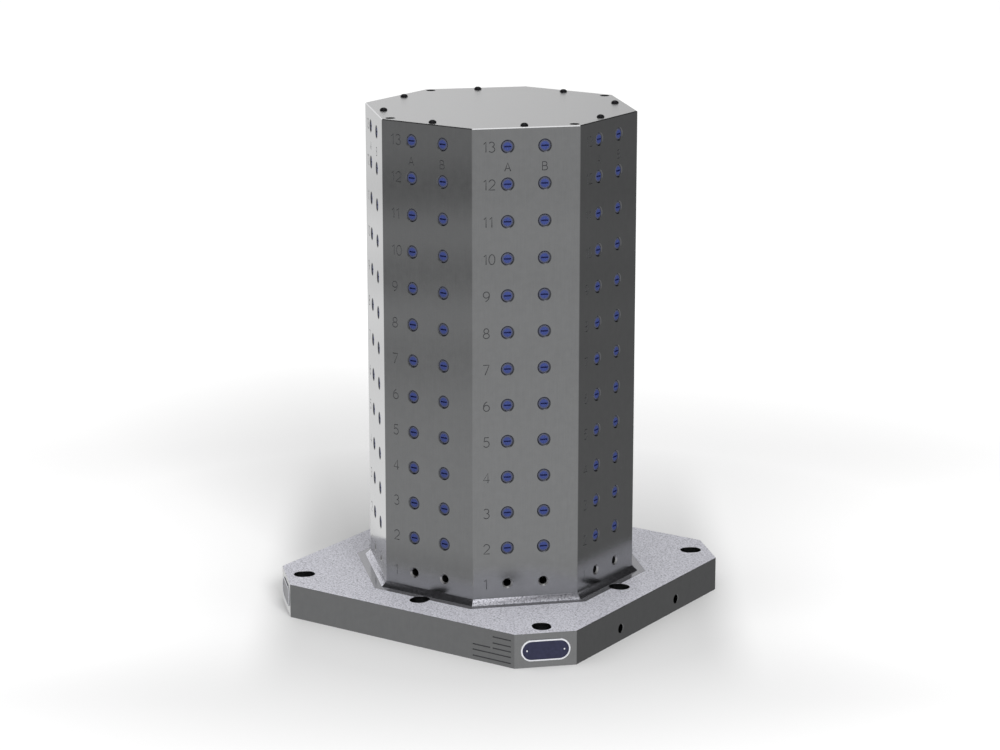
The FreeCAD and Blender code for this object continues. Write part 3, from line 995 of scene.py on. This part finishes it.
# Enamel is baked paint: smooth, dark and glossy.
enamel = even_finish(
    "dark_blue_enamel", "#20223a", "#292b45",
    grain_mm=4.0, roughness=0.3, metallic=0.0, bump=0.1,
)
# Bare aluminium, blasted matt, scatters light widely: pale, and hardly a mirror.
aluminium = even_finish(
    "bare_aluminium", "#d4d5da", "#e2e3e8",
    grain_mm=1.0, roughness=0.4, metallic=0.2, bump=0.2,
)
print("materials", len(bpy.data.materials))

# %% [markdown]
# ## Finishes onto the pieces
# On the real tower the finish changes from face to face, because each was cast, ground, bored or
# engraved; here the holes, grooves and sharp edges also carry painted shade or painted highlights.
# The shapes are done, so a face's finish can be told from where it lies. Each piece gets its list
# of materials, and a small function says which of them a face takes.

# %% Which finish each face takes
def dress(piece, materials, zone=None):
    """Gives a piece its materials; zone says which of them a face takes."""
    piece.data.materials.clear()
    for material in materials:
        piece.data.materials.append(material)
    for polygon in piece.data.polygons:
        polygon.material_index = zone(polygon) if zone else 0


def on_face(point):
    """A point as its nearest column face has it: how far it lies behind that
    face's plane, its row, and how far it is from the middle of the hole next to
    it."""
    angle = round(math.atan2(point.y, point.x) / FACE_STEP) * FACE_STEP
    behind = COLUMN_HALF - point.x * math.cos(angle) - point.y * math.sin(angle)
    across = abs(point.y * math.cos(angle) - point.x * math.sin(angle))
    row = round((point.z - FIRST_ROW) / ROW_PITCH)
    return behind, row, math.hypot(across - COLUMN_B, point.z - FIRST_ROW - row * ROW_PITCH)


casting_finishes = [
    iron, skin, foot_skin, bore_shade_iron, hole_shade_iron, groove_shade_iron, mouth_highlight_iron, seat_iron,
]
IRON, SKIN, FOOT_SKIN, BORE, DARK, GROOVE, MOUTH, SEAT = range(len(casting_finishes))
# Inside this distance from a hole's middle a face belongs to the hole.
HOLE_REACH = BORE_RADIUS + 2 * MM
# No sign is cut deeper than this, and none lies farther from the axis.
SIGN_DEPTH = 0.7 * MM
SIGN_REACH = COLUMN_HALF + 13 * MM


def casting_zone(polygon):
    """Which finish a face of the casting has."""
    middle = polygon.center
    behind, row, off = on_face(middle)
    if near(middle.z, seat_floor):
        return SEAT
    if COLUMN_HALF - behind < CORE_HALF + MM:
        return SKIN
    if middle.z > FOOT and behind > SLIGHT:
        if off > HOLE_REACH:
            # Deep faces inside the open holes take the nearly black painted shade.
            if behind > MM:
                return DARK
            # Engraved faces take the darker groove tone, painted shade in the grooves.
            return GROOVE if behind < SIGN_DEPTH and middle.xy.length < SIGN_REACH else IRON
        # Bore walls and chamfers take the darker painted shade; at the open holes the countersink
        # takes the painted highlight and the thread the nearly black painted shade.
        if row > 0:
            return BORE
        return MOUTH if behind < MOUTH_RADIUS - THREAD_INNER else DARK
    if near(middle.z, BASE_TOP):
        return SKIN
    if BASE_TOP - MM < middle.z < FOOT and COLUMN_HALF - behind < SEAT_FLAT + SLIGHT:
        return FOOT_SKIN
    in_lines = 0 < middle.x < LINE_RIGHT + SLIGHT and MM < middle.z < BASE_TOP - MM
    if in_lines and SLIGHT < middle.y + BASE_HALF < LINE_DEPTH + SLIGHT:
        return GROOVE
    return IRON


# %% The other pieces' zones
LEVEL = 0.9
SLOPED = 0.5
# A nameplate's faces nearer than this to the corner flat, its side, take the dark enamel as
# painted shade.
PLATE_SIDE_SHADE_BELOW = 0.8 * MM


def cover_zone(polygon):
    """0 for the ground top, 1 for the sides, 2 inside holes, 3 for the chamfer."""
    # Inside the holes the nearly black painted shade, on the chamfer the painted highlight.
    if abs(polygon.normal.z) > LEVEL:
        return 0
    if on_face(polygon.center)[0] > MM:
        return 2
    return 3 if abs(polygon.normal.z) > SLOPED else 1


def plug_zone(polygon):
    """0 for a plug's flat end, 1 for its rim and sides, 2 for its slot."""
    # The rim and sides take the grey painted shade, the slot the nearly black painted shade.
    behind, _, off = on_face(polygon.center)
    if near(behind, PLUG_RECESS):
        return 0
    in_slot = off < PLUG_SLOT_LENGTH / 2 + SLIGHT
    return 2 if in_slot and behind < PLUG_RECESS + PLUG_SLOT_DEPTH + SLIGHT else 1


def plate_zone(polygon):
    """1 for the dark field of a nameplate and its side, 0 for its border and
    pins."""
    # The plate's side takes the dark enamel as painted shade, a dark outline round the border.
    out = polygon.center.xy.length - CORNER_FLAT
    is_field = len(polygon.vertices) == PLATE_SIDES and out > PLATE_THICKNESS / 2
    return 1 if is_field or out < PLATE_SIDE_SHADE_BELOW else 0


dress(tower, casting_finishes, casting_zone)
dress(cover, [cover_steel, iron, hole_shade_iron, chamfer_highlight_steel], cover_zone)
dress(screws, [oxide])
for badge in nameplates.values():
    dress(badge, [aluminium, enamel], plate_zone)
for plug_column in plug_columns.values():
    dress(plug_column, [plastic, rim_shade_plastic, slot_shade_plastic], plug_zone)
print("casting faces per finish", [
    sum(1 for polygon in tower.data.polygons if polygon.material_index == zone)
    for zone in range(len(casting_finishes))
])

# %% [markdown]
# ## Riding on the frame
# Nothing moves, so every piece rides on the root body and stands for its node.
# Shading is smooth only across shallow angles, so the turned walls look round
# and the ground edges stay crisp.

# %% Ride, replace and name the finishes
SMOOTH_ANGLE = math.radians(20)

pieces = {"column_casting": tower, "cover_plate": cover, "cover_screws": screws}
pieces.update(nameplates)
pieces.update(plug_columns)
for node, piece in pieces.items():
    activate(piece)
    bpy.ops.object.shade_smooth_by_angle(angle=SMOOTH_ANGLE)
    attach(piece, "root")
    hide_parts(node)
print("pieces", len(pieces))

# %% [markdown]
# ## The floor
# The tower stands on a plain pale floor that catches its soft shadow. Towards the distance the
# floor has to fade to the white of a studio sweep, so where the camera sees it, it gives off a
# little light of its own, by the distance from the tower. Level with the tower on both sides it
# gives a little more, painted light that narrows the tower's shadow there. None of this lights the
# tower, and the metal doesn't mirror the floor.

# %% Floor
FLOOR_SIZE = 40.0
FLANKS_TURN = math.radians(33.7)

bpy.ops.mesh.primitive_plane_add(size=FLOOR_SIZE)
floor = bpy.context.object
floor.name = "floor"
floor.visible_glossy = False
floor_material, floor_tree, floor_shader, floor_place = new_material("pale_floor")
floor_shader.inputs["Base Color"].default_value = linear("#d8d8d8")
floor_shader.inputs["Roughness"].default_value = 0.9
floor_shader.inputs["Emission Color"].default_value = (1, 1, 1, 1)
away = add_node(floor_tree, "VectorMath", {0: floor_place}, operation="LENGTH").outputs["Value"]
turned = add_node(floor_tree, "Mapping", {
    "Vector": floor_place, "Rotation": (0, 0, -FLANKS_TURN),
})
offset = add_node(floor_tree, "SeparateXYZ", {"Vector": turned.outputs["Vector"]})
aside = add_node(floor_tree, "Math", {0: offset.outputs["X"]}, operation="ABSOLUTE").outputs[0]

# Each row: what is measured in metres, how it is eased, where the step starts and
# ends, and its level at the start and at the end.
step_rows = {
    "near": (away, "LINEAR", 0.36, 0.8, 0.0, 0.24),
    "far": (away, "SMOOTHSTEP", 0.7, 1.7, 0.0, 0.3),
    # The beside step is painted light that pales the floor level with the tower.
    "beside": (aside, "SMOOTHSTEP", 0.27, 0.36, 0.0, 0.26),
    "not_before": (offset.outputs["Y"], "SMOOTHSTEP", -0.45, -0.1, 0.0, 1.0),
    "not_behind": (offset.outputs["Y"], "SMOOTHSTEP", 0.1, 0.8, 1.0, 0.0),
}
floor_step = {}
for name, (measure, easing, start, end, first, last) in step_rows.items():
    floor_step[name] = add_node(floor_tree, "MapRange", {
        "Value": measure, "From Min": start, "From Max": end, "To Min": first, "To Max": last,
    }, interpolation_type=easing).outputs["Result"]

fade = add_node(floor_tree, "Math", {
    0: floor_step["near"], 1: floor_step["far"],
}, operation="ADD")
level_with = add_node(floor_tree, "Math", {
    0: floor_step["not_before"], 1: floor_step["not_behind"],
}, operation="MULTIPLY")
flanks = add_node(floor_tree, "Math", {
    0: floor_step["beside"], 1: level_with.outputs[0], 2: fade.outputs[0],
}, operation="MULTIPLY_ADD")
seen = add_node(floor_tree, "LightPath").outputs["Is Camera Ray"]
lift = add_node(floor_tree, "Math", {0: seen, 1: flanks.outputs[0]}, operation="MULTIPLY")
floor_tree.links.new(lift.outputs[0], floor_shader.inputs["Emission Strength"])
floor.data.materials.append(floor_material)
print("floor nodes", len(floor_tree.nodes))

# %% [markdown]
# ## The surroundings
# Ground metal shows what stands around it, so a photographer of such a thing
# places screens with care. Here the world does that. For the camera it is plain
# white. For dull surfaces it is an even dome of light. For mirroring ones it is
# a studio with a bright back light, dark and grey flags, narrow bands below the
# horizon, and a bright panel overhead. Each ray asks the world only for its own
# kind of light, so a flag that darkens a mirrored face dims nothing else.

# %% The studio's screens
DOME = 0.7
# Each screen: azimuth and elevation of its middle in degrees, where its soft edge
# starts and ends as the cosine of the angle off the middle, the level outside it
# and the level inside it.
SCREENS = {
    "back_light": (150, 0, 0.78, 0.92, 0.5, 0.9),
    "right_flag": (60, 0, 0.5, 0.95, 1.0, 0.36),
    "left_flag": (-130, 0, 0.5, 0.95, 1.0, 0.76),
    "high_left_flag": (-155, 54, 0.85, 0.95, 1.0, 0.12),
    "high_right_flag": (73, 32, 0.85, 0.95, 1.0, 0.2),
    "upper_room": (0, 90, 0.3, 0.52, 1.0, 0.6),
    "ceiling": (0, 90, 0.9, 0.95, 0.0, 0.8),
    "bands_share": (-130, 0, 0.3, 0.95, 0.2, 1.0),
}

world = bpy.data.worlds.new("studio")
bpy.context.scene.world = world
world.use_nodes = True
sky = world.node_tree
sky.nodes.clear()
direction = add_node(sky, "TexCoord").outputs["Generated"]


def toward(azimuth, elevation):
    """The unit vector that points to an azimuth and elevation in degrees."""
    turn, rise = math.radians(azimuth), math.radians(elevation)
    return Vector((
        math.cos(turn) * math.cos(rise), math.sin(turn) * math.cos(rise), math.sin(rise)
    ))


screen = {}
for name, (azimuth, elevation, start, end, outside, inside) in SCREENS.items():
    nearness = add_node(sky, "VectorMath", {
        0: direction, 1: toward(azimuth, elevation),
    }, operation="DOT_PRODUCT").outputs["Value"]
    screen[name] = add_node(sky, "MapRange", {
        "Value": nearness, "From Min": start, "From Max": end, "To Min": outside, "To Max": inside,
    }, interpolation_type="SMOOTHSTEP").outputs["Result"]
print("screens", len(screen))

# %% Bands below the horizon, mirrored by the left front face
# Where the bands start and end, as the sine of the elevation, and the levels
# below and above them.
BANDS_LOW = -0.33
BANDS_HIGH = -0.16
BANDS_FIRST = 0.9
BANDS_LAST = 0.75
# Places between, from 0 at BANDS_LOW to 1 at BANDS_HIGH, and the level at each.
BANDS = [
    (0.1, 1.2), (0.25, 1.2), (0.39, 1.12), (0.53, 0.85), (0.604, 1.12), (0.68, 0.6),
    (0.77, 1.05), (0.86, 0.42), (0.93, 0.8),
]

height = add_node(sky, "SeparateXYZ", {"Vector": direction}).outputs["Z"]
band_place = add_node(sky, "MapRange", {
    "Value": height, "From Min": BANDS_LOW, "From Max": BANDS_HIGH,
}).outputs["Result"]
bands = add_node(sky, "ValToRGB", {"Fac": band_place})
bands.color_ramp.interpolation = "EASE"
bands.color_ramp.elements[0].color = (BANDS_FIRST, BANDS_FIRST, BANDS_FIRST, 1)
bands.color_ramp.elements[1].color = (BANDS_LAST, BANDS_LAST, BANDS_LAST, 1)
for place, value in BANDS:
    bands.color_ramp.elements.new(place).color = (value, value, value, 1)
around_room = add_node(sky, "Mix", {
    0: screen["bands_share"], 2: 1.0, 3: bands.outputs["Color"],
}, data_type="FLOAT").outputs[0]
print("bands", len(bands.color_ramp.elements))

# %% The world for each kind of ray
for name in (
    "back_light", "right_flag", "left_flag", "high_left_flag", "high_right_flag", "upper_room",
):
    around_room = add_node(sky, "Math", {
        0: around_room, 1: screen[name],
    }, operation="MULTIPLY").outputs[0]
studio = add_node(sky, "Math", {0: around_room, 1: screen["ceiling"]}, operation="ADD").outputs[0]
rays = add_node(sky, "LightPath")
lit = add_node(sky, "Mix", {
    0: rays.outputs["Is Diffuse Ray"], 2: studio, 3: DOME,
}, data_type="FLOAT").outputs[0]
strength = add_node(sky, "Mix", {
    0: rays.outputs["Is Camera Ray"], 2: lit, 3: 1.0,
}, data_type="FLOAT").outputs[0]
background = add_node(sky, "Background", {"Color": (1, 1, 1, 1), "Strength": strength})
add_node(sky, "OutputWorld", {"Surface": background.outputs["Background"]})
print("world nodes", len(sky.nodes))

# %% [markdown]
# ## Lamps
# Two soft lamps give the dull surfaces their shape and the floor its shadow: a
# wide weak one from the left and a smaller, lower key from the right. The
# metal mirrors the studio alone, so the lamps stay out of its reflections.

# %% Lamps
LAMP_AIM = Vector((0, 0, 350 * MM))
LAMP_DISTANCE = 3.2


def soft_lamp(name, azimuth, elevation, size, watts):
    """A square soft lamp that looks at the middle of the tower."""
    out = toward(azimuth, elevation)
    lamp = bpy.data.lights.new(name, "AREA")
    lamp.size = size
    lamp.energy = watts
    holder = bpy.data.objects.new(name, lamp)
    bpy.context.scene.collection.objects.link(holder)
    holder.location = out * LAMP_DISTANCE + LAMP_AIM
    holder.rotation_euler = out.to_track_quat("Z", "Y").to_euler()
    holder.visible_glossy = False
    print(name, [round(value, 2) for value in holder.location])


soft_lamp("fill_left", azimuth=-140, elevation=48, size=2.6, watts=18)
soft_lamp("key_right", azimuth=-40, elevation=29, size=1.0, watts=66)

# %% [markdown]
# ## Camera
# The camera was found from the photograph: a long lens about four metres away,
# looking a little down on the near corner of the base.

# %% Camera
CAMERA_AZIMUTH = math.radians(33.661)
CAMERA_ELEVATION = math.radians(14.387)
CAMERA_DISTANCE = 4.03284
CAMERA_RIGHT = -0.000165
CAMERA_UP = 0.31164
SENSOR_WIDTH_MM = 36
FOCAL_LENGTH_MM = 101.781

back = Vector((
    math.sin(CAMERA_AZIMUTH) * math.cos(CAMERA_ELEVATION),
    -math.cos(CAMERA_AZIMUTH) * math.cos(CAMERA_ELEVATION),
    math.sin(CAMERA_ELEVATION),
))
right = Vector((math.cos(CAMERA_AZIMUTH), math.sin(CAMERA_AZIMUTH), 0))
up = back.cross(right)
lens = bpy.data.cameras.new("camera")
lens.sensor_width = SENSOR_WIDTH_MM
lens.lens = FOCAL_LENGTH_MM
camera = bpy.data.objects.new("camera", lens)
bpy.context.scene.collection.objects.link(camera)
camera.location = right * CAMERA_RIGHT + up * CAMERA_UP + back * CAMERA_DISTANCE
camera.rotation_euler = (math.pi / 2 - CAMERA_ELEVATION, 0, CAMERA_AZIMUTH)
bpy.context.scene.camera = camera
bpy.context.scene.view_settings.view_transform = "Standard"
print("camera", [round(value, 3) for value in camera.location])
